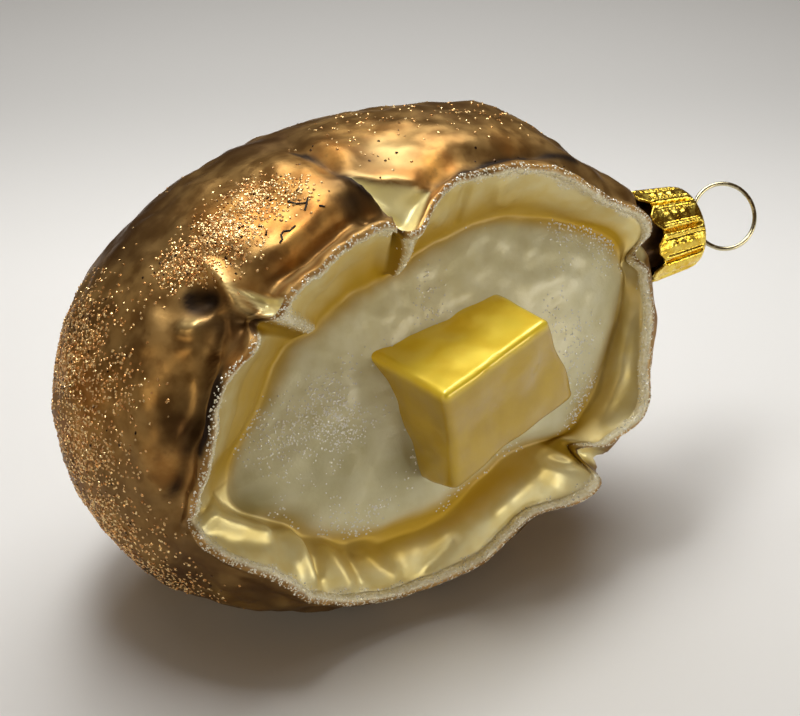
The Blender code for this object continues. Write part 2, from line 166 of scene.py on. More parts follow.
WALL_LINES = (  # paths are angles round the opening and places from the flesh, 0, to the lip, 1
    Line(((-171, 0.9), (-165, 0.64), (-158, 0.5), (-150, 0.42)), 1.5, 1.6),
    Line(((-172, 0.4), (-164, 0.15), (-157, 0.04)), -0.9, 1.0),
    Line(((-147, 0.3), (-141, 0.62), (-136, 0.85)), 1.7, 1.5, 2.0, True),
    Line(((-139, 0.2), (-136, 0.44), (-132, 0.85)), -0.7, 0.8),
    Line(((-134, 0.25), (-129, 0.52), (-124, 0.8)), 1.9, 2.0, 2.0, True),
    Line(((-126, 0.2), (-122.5, 0.5), (-118, 0.85)), -0.6, 0.8),
    Line(((-119, 0.35), (-115, 0.6), (-110, 0.78)), 1.5, 2.0, 2.0, True),
    Line(((86.6, 0.2), (86.6, 0.5), (86.8, 0.8)), 1.5, 1.4, 2.0, True),
    Line(((139.2, 0.2), (139.2, 0.5), (139.4, 0.8)), 1.4, 1.4, 2.0, True),
    Line(((-160, 0.2), (-147, 0.18), (-130, 0.04), (-114, 0.12), (-98, 0.18), (-84, 0.16), (-70, 0.1)), -0.9, 1.8),
    Line(((-84, 0.6), (-67, 0.68), (-56, 0.52), (-47, 0.25)), 1.6, 2.6),
    Line(((-50, 0.3), (-47.5, 0.6), (-45.5, 0.95)), -0.9, 0.7),
    Line(((-100, 0.9), (-92, 0.7), (-86, 0.5)), -0.5, 1.0),
    Line(((-36, 0.1), (-28, 0.25), (-15, 0.3), (0, 0.2)), -0.7, 1.3),
    Line(((-34, 0.6), (-22, 0.62), (-8, 0.6)), 0.8, 1.2),
    Line(((18, 0.2), (30, 0.25), (45, 0.15)), -0.4, 1.4),
    Line(((38, 0.25), (45, 0.55), (50, 0.9)), 0.7, 1.3),
    Line(((54, 0.1), (57, 0.5), (62, 0.95)), -0.6, 0.8),
    Line(((62, 0.3), (68, 0.6), (76, 0.7), (84, 0.5)), 0.8, 1.4),
    Line(((98, 0.5), (115, 0.45), (132, 0.4)), -0.35, 1.2),
    Line(((152, 0.5), (164, 0.45), (178, 0.5)), -0.3, 0.9),
    Line(((150, 0.2), (160, 0.15), (172, 0.2), (184, 0.3)), 0.35, 0.8),
)
CLEFTS = (  # angle round the opening, half width in degrees and depth of the cut between two flaps
    (143.6, 2.5, 3.6), (89.8, 2.1, 3.6), (-43.5, 2.8, 3.0), (4.6, 1.8, 1.8), (190.6, 1.6, 1.6),
)
CLEFT_REACH = 2.6
FROSTED_ENDS = ((86.2, 2.1), (138.7, 2.4))   # angle and half width of the flap ends frosted to their foot
PAINTED_SHADE_MARKS = (  # painted shade, near black, in the deepest folds, the gaps behind the lips and the pit
    Line(((140.5, 55), (142.5, 51.5), (143.4, 49.5)), 0.9, 0.5),
    Line(((143.4, 64.2), (142.7, 62.2)), 1.15, 2.0, 3.0, True),
    Line(((157, 54.6), (160, 54.4), (164, 54.9), (169, 56), (174, 57.8)), 1.1, 1.3, 3.0, True),
    Line(((146, 52), (150, 54), (155, 55.2)), 0.5, 0.8),
    Line(((98, 57), (99, 53.6), (105, 51.1)), 0.6, 1.7),
    Line(((105, 51.1), (116, 49.7), (122, 50.2), (133, 50)), 0.55, 0.8),
    Line(((99.4, 78), (97.5, 69), (96.8, 61), (94.5, 53), (91, 44)), 0.95, 0.7, 2.0, True),
    Line(((145, 59), (148, 57.3), (154, 57.4), (161, 57.6), (170, 58.4)), 0.7, 0.6),
    Line(((139, 59), (143, 56), (146, 54)), 0.5, 0.6),
    Line(((172, 60), (179, 63), (185, 67)), 0.8, 0.8),
    Line(((84, 50.5), (78, 50.4), (68, 52.6), (60, 56), (48, 62.5), (38, 68), (30, 72)), 1.0, 1.0, 2.0, True),
    Line(((72, 49), (64, 51), (56, 54.5)), 0.8, 0.5),
    Line(((-160, 69), (-130, 72), (-100, 75), (-70, 71), (-50, 69)), 0.5, 2.2),
)
PAINTED_HIGHLIGHT_MARKS = (  # painted highlight, bright gold, along the sharpest folds
    Line(((134, 66), (136, 60), (139, 56), (145, 51)), 1.0, 0.6),
    Line(((147, 60.5), (148.5, 62.5), (149, 65)), 0.7, 0.9),
    Line(((96, 62.5), (89, 57), (80, 53.5)), 0.6, 0.5),
    Line(((102, 49), (112, 47.6), (124, 48.4), (134, 51)), 0.7, 0.5),
    Line(((84, 58), (80, 64), (84, 70)), 0.4, 3.0),
)
FIBRES = (  # dark threads caught in the paint
    ((108, 59.4), (109.6, 58.2), (111.6, 57)),
    ((116, 55.7), (118, 55.5), (119, 56.6), (120.2, 56.4), (121, 55.2), (122.6, 55)),
    ((112, 62), (111, 60), (108.6, 58.2)),
    ((107.6, 56), (106.2, 54.8)),
)


def unit(turn, away):
    """The direction of a place on the map, in the body's own axes."""
    t, a = np.radians(turn), np.radians(away)
    return np.stack((np.sin(a) * np.cos(t), np.sin(a) * np.sin(t), np.cos(a) + 0 * t), -1)


def body_frame():
    """The turn and the place, in millimetres, that carry the body's own axes to the world."""
    front = Vector((0, -cos(FACE_TILT), sin(FACE_TILT)))
    up = Vector((0, sin(FACE_TILT), cos(FACE_TILT)))
    length = Vector((cos(LENGTH_TILT), 0, 0)) + up * sin(LENGTH_TILT)
    width = Vector((-sin(LENGTH_TILT), 0, 0)) + up * cos(LENGTH_TILT)
    turn = Matrix((length, width, front)).transposed()
    half = Vector((HALF_LENGTH, HALF_WIDTH, HALF_DEPTH))
    down = turn.transposed() @ Vector((0, 0, -1))
    reach = Vector([h * h * d for h, d in zip(half, down)])
    reach /= sum((h * d) ** 2 for h, d in zip(half, down)) ** 0.5
    lowest = turn @ reach
    return turn, Vector((-lowest.x, -lowest.y, -lowest.z - REST_CUT))


BODY_TURN, BODY_MIDDLE = body_frame()


def to_world(points):
    """Points of the body's own axes, in millimetres, as world points in metres."""
    return (points @ np.array(BODY_TURN).T + np.array(BODY_MIDDLE)) * MM


def around(angles, values, asked):
    """A smooth closed curve through values at the given angles, in degrees."""
    order = np.argsort(np.mod(angles, 360))
    x = np.mod(angles, 360)[order]
    y = np.asarray(values, float)[order]
    x = np.concatenate((x[-2:] - 360, x, x[:2] + 360))
    y = np.concatenate((y[-2:], y, y[:2]))
    slope = np.gradient(y, x)
    a = np.mod(asked, 360)
    i = np.clip(np.searchsorted(x, a, side="right") - 1, 1, len(x) - 3)
    span = x[i + 1] - x[i]
    t = (a - x[i]) / span
    start = (1 + 2 * t) * (1 - t) ** 2 * y[i] + t * (1 - t) ** 2 * span * slope[i]
    return start + t * t * (3 - 2 * t) * y[i + 1] + t * t * (t - 1) * span * slope[i + 1]


def flap_value(name, asked):
    angles = np.concatenate([flap.angles for flap in FLAPS])
    return around(angles, np.concatenate([getattr(flap, name) for flap in FLAPS]), asked)


def on_map(turn, away):
    return away * np.cos(np.radians(turn)), away * np.sin(np.radians(turn))


def inside_triangle(corners, turn, away):
    """How far inside a triangle on the map, 0 at its sides and outside, in degrees."""
    u, v = on_map(turn, away)
    points = [on_map(*corner) for corner in corners]
    middle_u = sum(p[0] for p in points) / 3
    middle_v = sum(p[1] for p in points) / 3
    inner = np.full(np.shape(u), np.inf)
    for (au, av), (bu, bv) in zip(points, points[1:] + points[:1]):
        nu, nv = av - bv, bu - au
        size = np.hypot(nu, nv) * np.sign((middle_u - au) * nu + (middle_v - av) * nv)
        inner = np.minimum(inner, ((u - au) * nu + (v - av) * nv) / size)
    return np.maximum(inner, 0)


def skin_radius(turn, away):
    """Distance of the skin from the body's middle."""
    direction = unit(turn, away)
    x, y, z = np.moveaxis(np.abs(direction), -1, 0)
    radius = ((x / HALF_LENGTH) ** SQUARENESS + (y / HALF_WIDTH) ** SQUARENESS
              + (z / HALF_DEPTH) ** SQUARENESS) ** (-1 / SQUARENESS)
    for place, height, reach in SWELLINGS:
        gap = np.arccos(np.clip(direction @ unit(*place), -1, 1)) * radius
        radius = radius + height * np.exp(-(gap / reach) ** 2)
    for corners, depth in TEARS:
        inner = inside_triangle(corners, turn, away)
        radius = radius - depth * (1 - np.exp(-(inner / TEAR_EDGE) ** TEAR_FALL))
    return radius


def smooth(low, high, value):
    t = np.clip((value - low) / (high - low), 0, 1)
    return t * t * (3 - 2 * t)


def on_skin(path):
    turns, aways = np.array(path, float).T
    return unit(turns, aways) * skin_radius(turns, aways)[:, None]


def on_wall(path):
    turns, places = np.array(path, float).T
    return glass_points("wall", places, turns)


def near_line(points, path, blunt):
    """The gap to a broken line, and a strength, 0 to 1, that falls towards its ends."""
    nearest = np.full(len(points), np.inf)
    along = np.zeros(len(points))
    for number, (start, end) in enumerate(zip(path, path[1:])):
        side = end - start
        t = np.clip((points - start) @ side / (side @ side), 0, 1)
        gap = np.linalg.norm(points - start - t[:, None] * side, axis=1)
        closer = gap < nearest
        nearest = np.where(closer, gap, nearest)
        along = np.where(closer, (number + t) / (len(path) - 1), along)
    fade = smooth(0, 0.2, along) * smooth(0, 0.2, 1 - along) * 0.8 + 0.2
    return nearest, 1.0 if blunt else fade


def line_relief(points, lines, locate):
    """Height that ridges and creases add at points near a surface."""
    relief = np.zeros(len(points))
    for line in lines:
        gap, ends = near_line(points, locate(line.path), line.blunt)
        relief += line.height * ends * np.exp(-(gap / line.width) ** line.sharp)
    return relief


def painted(points, lines, locate):
    """Strength of the paint, painted shade or painted highlight that marks leave at points."""
    strength = np.zeros(len(points))
    for line in lines:
        gap, ends = near_line(points, locate(line.path), line.blunt)
        strength = np.maximum(strength, line.height * ends * np.exp(-(gap / line.width) ** line.sharp))
    return strength


def waves(points, size, seed):
    """Smooth random height, about -1 to 1, whose bumps are about size across."""
    shift = Vector((seed * 17.3, seed * 5.1, seed * 9.7))
    return np.array([noise.noise(Vector(p) / size + shift) for p in points])


def wobble(turn, seed, counts):
    """Random closed curve round the opening, about -1 to 1."""
    turns = np.radians(turn)
    return sum(np.sin(n * turns + seed * 2.4 + n) / (1 + i) for i, n in enumerate(counts)) / 1.6


def glass_rows():
    """Zone and place in the zone of every ring of vertices, from the flesh to the back."""
    rows = [("flesh", (i + 1) / FLESH_RINGS) for i in range(FLESH_RINGS)]
    rows += [("wall", (i + 1) / WALL_RINGS) for i in range(WALL_RINGS - 1)]
    rows += [("lip", i / (LIP_RINGS - 1)) for i in range(LIP_RINGS)]
    rows += [("skin", (i + 1) / (SKIN_RINGS + 1)) for i in range(SKIN_RINGS)]
    return rows


def upright(turn, flat, height):
    """Vectors from their parts away from the axis and along it."""
    t = np.radians(turn)
    return np.stack((flat * np.cos(t), flat * np.sin(t), height), -1)


def wall_section(turn):
    """Lip centre, foot and straight run of the wall at each angle."""
    rim = flap_value("rim", turn) + 0.5 * wobble(turn, 1, (11, 23, 37, 61))
    foot = flap_value("foot", turn) + 0.35 * wobble(turn, 2, (7, 16, 29, 41))
    proud = flap_value("proud", turn) + 0.12 * wobble(turn, 3, (13, 27, 45, 70))
    out = np.stack((np.sin(np.radians(rim)), np.cos(np.radians(rim))))
    middle = out * (skin_radius(turn, rim) + proud - LIP_RADIUS)
    inner = middle - out * LIP_RADIUS
    return rim, foot, proud, out, middle, inner - np.stack((foot, flap_value("foot_height", turn)))


def cleft_depth(turn):
    """How deep the cuts between the flaps go at each angle."""
    depth = 0.0
    for middle, half, deep in CLEFTS:
        gap = (turn - middle + 180) % 360 - 180
        depth = depth + deep * np.exp(-(gap / half) ** 2)
    return depth


def wall_outwards(turn):
    run, rise = wall_section(turn)[-1]
    length = np.hypot(run, rise)
    return upright(turn, -rise / length, run / length)


def glass_points(zone, s, turn):
    """Points of one zone in the body's own axes; zone is a name, s and turn are arrays."""
    rim, foot, proud, out, middle, (run, rise) = wall_section(turn)
    foot_height = flap_value("foot_height", turn)
    if zone == "flesh":
        flat = foot * s
        height = FLESH_CROWN - (FLESH_CROWN - foot_height) * s ** FLESH_FALL
    elif zone == "wall":
        length = np.hypot(run, rise)
        swell = flap_value("pillow", turn) * np.sin(pi * s ** 0.8) ** 1.5
        flat = foot + run * s - rise / length * swell
        height = foot_height + rise * s ** WALL_BOW - WALL_SAG * np.sin(pi * s) ** 2
        height += run / length * swell - cleft_depth(turn) * s ** 3
    elif zone == "lip":
        swing = pi * s
        inward = np.stack((-out[1], out[0]))
        flat, height = middle + LIP_RADIUS * (-np.cos(swing) * out + np.sin(swing) * inward)
        height = height - cleft_depth(turn)
    else:
        away = rim + (180 - rim) * s ** SKIN_CROWDING
        rim_radius = skin_radius(turn, rim) + proud
        gap = np.radians(away - rim) * rim_radius
        radius = skin_radius(turn, away) + proud * np.exp(-(gap / GROOVE_WIDTH) ** 2)
        groove = flap_value("groove", turn) * (gap / GROOVE_WIDTH) ** 2
        radius -= groove * np.exp(1 - (gap / GROOVE_WIDTH) ** 2)
        flat = radius * np.sin(np.radians(away))
        height = radius * np.cos(np.radians(away))
        height -= cleft_depth(turn) * np.exp(-(gap / CLEFT_REACH) ** 2)
    return upright(turn, flat, height)


# ------------------------------------------------------------------ where the paints, the painted shade and the painted highlights lie
# Painted shade: darker skin where it turns side-on to the view and underneath, in creases, on the lower flesh, and
# toned-down paint under the brightest highlight.
PAINTED_SHADE_PATCHES = (  # painted shade: place on the map, reach in degrees, strength
    ((100, 98), 22, 0.9), ((60, 94), 24, 0.85), ((30, 86), 20, 0.9), ((130, 98), 20, 0.9),
    ((165, 112), 24, 0.9), ((-160, 98), 28, 1.0), ((-120, 88), 26, 1.0), ((-80, 83), 24, 1.0),
    ((-40, 90), 26, 0.8), ((0, 95), 22, 0.8), ((98, 53), 5, 0.8), ((170, 61.5), 5, 0.8),
    ((146, 57), 4, 0.8), ((142, 62), 4, 1.0), ((36, 72), 12, 0.6),
    ((-150, 42), 22, 0.9), ((-110, 40), 20, 1.0), ((-65, 34), 12, 0.7), ((165, 40), 12, 0.3),
    ((-160, 70), 12, 0.95), ((-146, 67), 9, 0.95), ((181, 77), 10, 0.95), ((86, 63), 8, 0.7), ((95, 58), 6, 0.8),
)
# Copper lacquer laid where the skin shines brightest, partly painted highlight.
COPPER_AND_HIGHLIGHT_PATCHES = (
    ((88, 66), 12, 1.0), ((72, 56), 7, 1.0), ((112, 60), 11, 1.0), ((122, 70), 10, 0.8),
    ((135, 58), 6, 1.0), ((150, 52), 5, 0.9), ((50, 62), 8, 0.6), ((178, 64), 5, 0.5), ((165, 84), 12, 0.7), ((152, 70), 7, 0.35),
    ((124, 52), 6, 1.0),
)
GLITTER_PATCHES = (
    ((127, 66), 7, 2.2), ((136, 69), 6, 1.9), ((116, 68), 7, 1.7), ((109, 63), 4.5, 1.2), ((122, 73), 5, 0.6),
    ((160, 88), 13, 1.0), ((175, 84), 11, 1.0), ((-170, 84), 12, 0.9), ((-157, 80), 9, 0.6),
    ((162, 74), 7, 0.7), ((165, 104), 14, 0.8), ((-165, 104), 14, 0.8),
    ((82, 78), 12, 0.22), ((62, 78), 12, 0.22), ((48, 82), 8, 0.25), ((85, 65), 9, 0.16),
    ((60, 125), 20, 0.5), ((-30, 130), 20, 0.5), ((120, 130), 18, 0.5),
)


def patches(direction, spots):
    """The strongest of several soft round patches."""
    strength = np.zeros(len(direction))
    for place, reach, amount in spots:
        gap = np.degrees(np.arccos(np.clip(direction @ unit(*place), -1, 1)))
        strength = np.maximum(strength, amount * np.exp(-(gap / reach) ** 2))
    return strength


def new_piece(name, mesh, *slots):
    """An object at the origin, riding on the one body."""
    obj = bpy.data.objects.new(name, mesh)
    bpy.context.scene.collection.objects.link(obj)
    for material in slots:
        mesh.materials.append(material)
    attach(obj, "root")
    return obj


def set_points(mesh, points):
    mesh.vertices.foreach_set("co", np.ascontiguousarray(points, np.float32).ravel())
    mesh.update()


def get_points(mesh):
    points = np.empty(len(mesh.vertices) * 3, np.float32)
    mesh.vertices.foreach_get("co", points)
    return points.reshape(-1, 3).astype(float)


def paint_map(mesh, name, *channels):
    """Stores up to three strengths for every vertex."""
    colours = np.ones((len(mesh.vertices), 4), np.float32)
    for i in range(3):
        colours[:, i] = channels[i] if i < len(channels) else 0
    layer = mesh.color_attributes.new(name, "FLOAT_COLOR", "POINT")
    layer.data.foreach_set("color", colours.ravel())


def soften(mesh, chosen):
    """Smooths the chosen vertices in place."""
    bm = bmesh.new()
    bm.from_mesh(mesh)
    bm.verts.ensure_lookup_table()
    verts = [bm.verts[int(i)] for i in chosen]
    for _ in range(SOFTENINGS):
        bmesh.ops.smooth_vert(bm, verts=verts, factor=0.5, use_axis_x=True, use_axis_y=True, use_axis_z=True)
    bm.to_mesh(mesh)
    bm.free()


def make_glass():
    """The skin, the flaps and the flesh, on a sphere whose poles lie on the opening's axis."""
    rows = glass_rows()
    bm = bmesh.new()
    bmesh.ops.create_uvsphere(bm, u_segments=AROUND, v_segments=len(rows) + 1, radius=1)
    mesh = bpy.data.meshes.new("glass_potato_painted")
    bm.to_mesh(mesh)
    bm.free()
    ball = get_points(mesh)
    row = np.rint(np.arccos(np.clip(ball[:, 2], -1, 1)) / pi * (len(rows) + 1)).astype(int) - 1
    turn = np.degrees(np.arctan2(ball[:, 1], ball[:, 0]))
    points = np.zeros_like(ball)
    points[row < 0] = (0, 0, FLESH_CROWN)
    points[row >= len(rows)] = (0, 0, -skin_radius(np.array(0.0), np.array(180.0)))
    names = np.array([zone for zone, s in rows])
    places = np.array([s for zone, s in rows])
    here = np.clip(row, 0, len(rows) - 1)
    zone, s = names[here], places[here]
    inner = (row >= 0) & (row < len(rows))
    for name in ("flesh", "wall", "lip", "skin"):
        chosen = inner & (zone == name)
        points[chosen] = glass_points(name, s[chosen], turn[chosen])
    skin, lip, wall, flesh = (zone == n for n in ("skin", "lip", "wall", "flesh"))

    direction = points / np.linalg.norm(points, axis=1)[:, None]
    away = np.degrees(np.arccos(np.clip(direction[:, 2], -1, 1)))
    broad, middling, small, fine = (waves(points, size, seed) for seed, size in enumerate((9, 5.5, 3.0, 1.3)))
    crease_shade, painted_highlight, relief = np.zeros(len(points)), np.zeros(len(points)), np.zeros(len(points))
    plain = direction[skin] * skin_radius(turn[skin], away[skin])[:, None]
    edge = skin | lip
    # painted shade, near black, in the deepest folds and gaps
    crease_shade[edge] = painted(direction[edge] * skin_radius(turn[edge], away[edge])[:, None], PAINTED_SHADE_MARKS, on_skin)
    # painted highlight along the sharpest folds
    painted_highlight[skin] = painted(plain, PAINTED_HIGHLIGHT_MARKS, on_skin)
    relief[skin] = (line_relief(plain, SKIN_LINES, on_skin) + 0.3 * broad[skin] + 0.36 * middling[skin]
                    + 0.3 * small[skin] + 0.05 * fine[skin]) * smooth(0, 0.03, s[skin])
    points += direction * relief[:, None]
    flesh_relief = 0.6 * broad + 0.36 * small + 0.08 * fine
    points[flesh, 2] += (flesh_relief * (1 - 0.6 * smooth(0.8, 1, s)))[flesh]
    swell = line_relief(points[wall], WALL_LINES, on_wall) + (0.25 * broad + 0.05 * small)[wall]
    swell *= smooth(0, 0.12, s[wall]) * smooth(0, 0.12, 1 - s[wall])
    points[wall] += wall_outwards(turn[wall]) * swell[:, None]
    points[lip] += direction[lip] * (0.12 * small + 0.12 * fine)[lip][:, None]

    world = to_world(points)
    world[:, 2] = np.maximum(world[:, 2], 0)
    set_points(mesh, world)
    soften(mesh, np.flatnonzero(np.abs(row - FLESH_RINGS) <= JUNCTION_RINGS))

    torn = np.zeros(len(points))
    for corners, depth in TEARS:
        torn = np.maximum(torn, smooth(0.3, 1.6, inside_triangle(corners, turn, away)))
    ragged = small * 0.5 + fine * 0.5
    is_skin = np.where(skin, 1.0, np.where(lip, smooth(0.5, 0.75, s + 0.25 * ragged), 0.0))
    frost_here = 1 - flap_value("frost", turn)
    frost = np.where(lip, 1.0, np.where(wall, smooth(frost_here, frost_here + 0.15, s + 0.2 * ragged), 0.0))
    frost = np.where(skin, smooth(0.012, 0.0, s + 0.006 * ragged), frost)
    for middle, half in FROSTED_ENDS:
        at_end = np.exp(-((turn - middle) / half) ** 4) * smooth(0.1, 0.3, s + 0.2 * ragged)
        frost = np.maximum(frost, at_end * wall)
    cut = smooth(0.8, 2.4, cleft_depth(turn)) * (wall | lip)
    frost = frost * (1 - cut)
    yolk_here = flap_value("yolk", turn)
    foot = flap_value("foot", turn)
    yolk = np.where(wall, yolk_here * (1 - smooth(0.15, 0.85, s + 0.2 * broad)), 0.0)
    yolk = np.maximum(yolk, cut)
    from_foot = foot * (1 - s)
    yolk = np.where(flesh, yolk_here * np.exp(-(from_foot / (1.6 + 0.8 * broad)) ** 2), yolk)
    # Painted shade: the patches on skin and flesh, each flap's shade on its wall, and the clefts between the flaps.
    painted_shade = patches(direction, PAINTED_SHADE_PATCHES) * (0.85 + 0.3 * broad)
    painted_shade = np.where(wall | lip, np.maximum(0.9 * cut, flap_value("shade", turn) * wall), painted_shade)
    # copper lacquer, partly painted highlight
    copper_and_highlight = patches(direction, COPPER_AND_HIGHLIGHT_PATCHES)
    paint_map(mesh, "zones", is_skin * (1 - torn * skin), frost, torn * skin)
    paint_map(mesh, "tones_and_painted_light", yolk, np.clip(painted_shade, 0, 1), np.clip(copper_and_highlight, 0, 1))
    # painted shade of the creases, painted highlight of the folds, and the flesh
    crease_shade = np.clip(crease_shade * (1 + 0.5 * small), 0, 1) * np.where(lip, is_skin, 1.0)
    paint_map(mesh, "painted_light_and_flesh", crease_shade, np.clip(painted_highlight * (0.8 + 0.5 * small), 0, 1), flesh * 1.0)
    mesh.shade_smooth()
    return mesh, dict(skin=skin, lip=lip, wall=wall, flesh=flesh, s=s, turn=turn, direction=direction,
                      frost=frost, torn=torn, crease_shade=np.clip(crease_shade, 0, 1))


# ------------------------------------------------------------------ the pat of butter
BUTTER_CUTS = 44
BUTTER_ROUND = 0.10      # of the edges, as a part of half a side


def make_butter():
    """A drafted block with softened, wavering edges, on a cube cut into a fine net."""
    side = BUTTER_UP.cross(BUTTER_FRONT).normalized()
    front = side.cross(BUTTER_UP)
    bm = bmesh.new()
    bmesh.ops.create_cube(bm, size=2)
    bmesh.ops.subdivide_edges(bm, edges=bm.edges, cuts=BUTTER_CUTS, use_grid_fill=True)
    mesh = bpy.data.meshes.new("butter_pat")
    bm.to_mesh(mesh)
    bm.free()
    cube = get_points(mesh)
    core = np.clip(cube, BUTTER_ROUND - 1, 1 - BUTTER_ROUND)
    edge = cube - core
    size = np.maximum(np.linalg.norm(edge, axis=1), 1e-9)[:, None]
    cube = core + edge / size * BUTTER_ROUND
    along, tall, deep = (cube[:, 0] + 1) / 2, (cube[:, 1] - 1) / 2, (cube[:, 2] - 1) / 2
    along = along * (1 - BUTTER_DRAFT * tall)
    tall = tall * (1 - BUTTER_TOE * deep)
    points = (np.outer(along * BUTTER_LONG, side) + np.outer(tall * BUTTER_TALL, BUTTER_UP)
              + np.outer(deep * BUTTER_DEEP, front) + BUTTER_CORNER)
    out = points - points.mean(0)
    out /= np.linalg.norm(out, axis=1)[:, None]
    height = 0.9 * waves(points, 7, 5) + 0.16 * waves(points, 3.0, 6)
    points += out * height[:, None]
    set_points(mesh, to_world(points))
    # Painted light: marks the top of the pat, which takes a lighter yellow than its shaded sides.
    paint_map(mesh, "tones_and_painted_light", smooth(-0.12, -0.03, tall))
    mesh.shade_smooth()
    return mesh


# ------------------------------------------------------------------ cap, ring and neck
def axis_frame():
    place = BODY_MIDDLE + Vector((0, CAP_AXIS_Y, CAP_AXIS_Z))
    return Matrix.Translation(place) @ Matrix.Rotation(radians(90), 4, "Y")


AXIS = axis_frame()
PETAL_COLUMNS = 40
CAP_ROWS = 44


def cap_profile():
    """Radius and place along the axis from the disc's middle to the petals' tips."""
    end = CAP_START + CAP_LENGTH
    turn_in = [(CAP_TOP_RADIUS - CAP_SHOULDER + CAP_SHOULDER * sin(a), end - CAP_SHOULDER * (1 - cos(a)))
               for a in np.linspace(0, pi / 2, 8)]
    skirt = [(CAP_TOP_RADIUS + (CAP_SKIRT_RADIUS - CAP_TOP_RADIUS) * t,
              end - CAP_SHOULDER - (CAP_LENGTH - CAP_SHOULDER) * t) for t in np.linspace(0, 1, CAP_ROWS)[1:]]
    return turn_in + skirt


def make_cap():
    """A stamped crown cap: nine panels with raised borders and beads, pointed at the skirt."""
    profile = cap_profile()
    columns = PETALS * PETAL_COLUMNS
    bm = bmesh.new()
    start = bm.verts.new((profile[0][0], 0, profile[0][1]))
    edges = []
    last = start
    for radius, place in profile[1:]:
        new = bm.verts.new((radius, 0, place))
        edges.append(bm.edges.new((last, new)))
        last = new
    bmesh.ops.spin(bm, geom=bm.verts[:] + edges, cent=(0, 0, 0), axis=(0, 0, 1), angle=2 * pi,
                   steps=columns, use_merge=True)
    rim = [e for e in bm.edges if len(e.link_faces) == 1 and e.verts[0].co.z > CAP_START + CAP_LENGTH / 2]
    bmesh.ops.edgeloop_fill(bm, edges=rim)
    bmesh.ops.recalc_face_normals(bm, faces=bm.faces)
    end = CAP_START + CAP_LENGTH
    for vertex in bm.verts:
        radius = Vector((vertex.co.x, vertex.co.y)).length
        if radius < CAP_TOP_RADIUS - 0.99 * CAP_SHOULDER:
            continue
        turn = np.arctan2(vertex.co.y, vertex.co.x)
        petal = turn / (2 * pi) * PETALS
        across = 2 * abs((petal % 1) - 0.5)          # 1 in the gap, 0 in the middle of a petal
        down = (end - vertex.co.z) / CAP_LENGTH      # 0 at the disc, 1 at the tips
        show = smooth(0.02, 0.16, down)
        gap = smooth(0.84, 0.99, across)
        border = np.exp(-((across - 0.72) / 0.09) ** 2) - 0.5 * np.exp(-((across - 0.52) / 0.06) ** 2)
        bead = 0.0
        for centre in (0.36, 0.52, 0.68):
            bead += np.exp(-(((down - centre) / 0.055) ** 2 + (across / 0.22) ** 2))
        lift = show * (0.22 * border * smooth(0.98, 0.8, down) + 0.26 * bead - PETAL_GROOVE * 1.8 * gap)
        point = PETAL_POINT * max(0, (across - 0.25) / 0.75) * smooth(0.7, 1.0, down)
        scale = (radius + lift) / radius
        vertex.co = (vertex.co.x * scale, vertex.co.y * scale, vertex.co.z + point)
    mesh = bpy.data.meshes.new("crown_cap")
    bm.to_mesh(mesh)
    bm.free()
    mesh.transform(Matrix.Scale(MM, 4) @ AXIS)
    mesh.shade_smooth()
    return mesh


def leg_sides():
    across = Matrix.Rotation(RING_TURN, 3, "Z") @ Vector((1, 0, 0))
    return -across, across


FIBRE_RADIUS, FIBRE_LIFT = 0.13, 0.05


def make_tube(name, points, radius, roundness=5):
    """A round wire along a smooth line of points, with closed ends."""
    curve = bpy.data.curves.new(name, "CURVE")
    curve.dimensions = "3D"
    curve.bevel_depth = radius * MM
    curve.bevel_resolution = roundness
    curve.use_fill_caps = True
    spline = curve.splines.new("POLY")
    spline.points.add(len(points) - 1)
    for point, place in zip(spline.points, points):
        point.co = (*(place * MM), 1)
    obj = bpy.data.objects.new(name, curve)
    bpy.context.scene.collection.objects.link(obj)
    mesh = bpy.data.meshes.new_from_object(obj.evaluated_get(bpy.context.evaluated_depsgraph_get()))
    bpy.data.objects.remove(obj)
    mesh.name = name
    mesh.shade_smooth()
    return mesh


def make_ring():
    """The sprung wire loop and its two legs through the disc."""
    turned = (AXIS @ Matrix.Translation((0, 0, RING_CENTRE)) @ Matrix.Rotation(RING_TURN, 4, "Z")
              @ Matrix.Rotation(RING_LEAN, 4, "X"))
    disc = CAP_START + CAP_LENGTH
    first, second = [[AXIS @ (side * (LEG_SPREAD + outwards) + Vector((0, 0, disc + place)))
                      for outwards, place in LEG_PATH] for side in leg_sides()]
    loop = []
    for swing in np.linspace(RING_MOUTH, 2 * pi - RING_MOUTH, 120):
        loop.append(turned @ (Vector((-sin(swing), 0, -cos(swing))) * RING_RADIUS))
    return make_tube("hanging_ring", first[::-1] + loop + second, WIRE_RADIUS)


def make_neck():
    """The short glass neck that the cap sits on."""
    end = CAP_START + CAP_LENGTH - NECK_TO_DISC
    profile = ((NECK_RADIUS + 2.2, NECK_START), (NECK_RADIUS + 1.4, NECK_START + 3), (NECK_RADIUS + 0.3, NECK_START + 6),
               (NECK_RADIUS, NECK_START + 8), (NECK_RADIUS, end - 0.4), (NECK_RADIUS - 0.4, end))
    bm = bmesh.new()
    verts = [bm.verts.new((0, 0, NECK_START))]
    verts += [bm.verts.new((radius, 0, place)) for radius, place in profile]
    verts.append(bm.verts.new((0, 0, end)))
    edges = [bm.edges.new(pair) for pair in zip(verts, verts[1:])]
    bmesh.ops.spin(bm, geom=verts + edges, cent=(0, 0, 0), axis=(0, 0, 1), angle=2 * pi, steps=72, use_merge=True)
    bmesh.ops.remove_doubles(bm, verts=bm.verts, dist=0.001)
    bmesh.ops.recalc_face_normals(bm, faces=bm.faces)
    mesh = bpy.data.meshes.new("glass_neck")
    bm.to_mesh(mesh)
    bm.free()
    mesh.transform(Matrix.Scale(MM, 4) @ AXIS)
    mesh.shade_smooth()
    return mesh


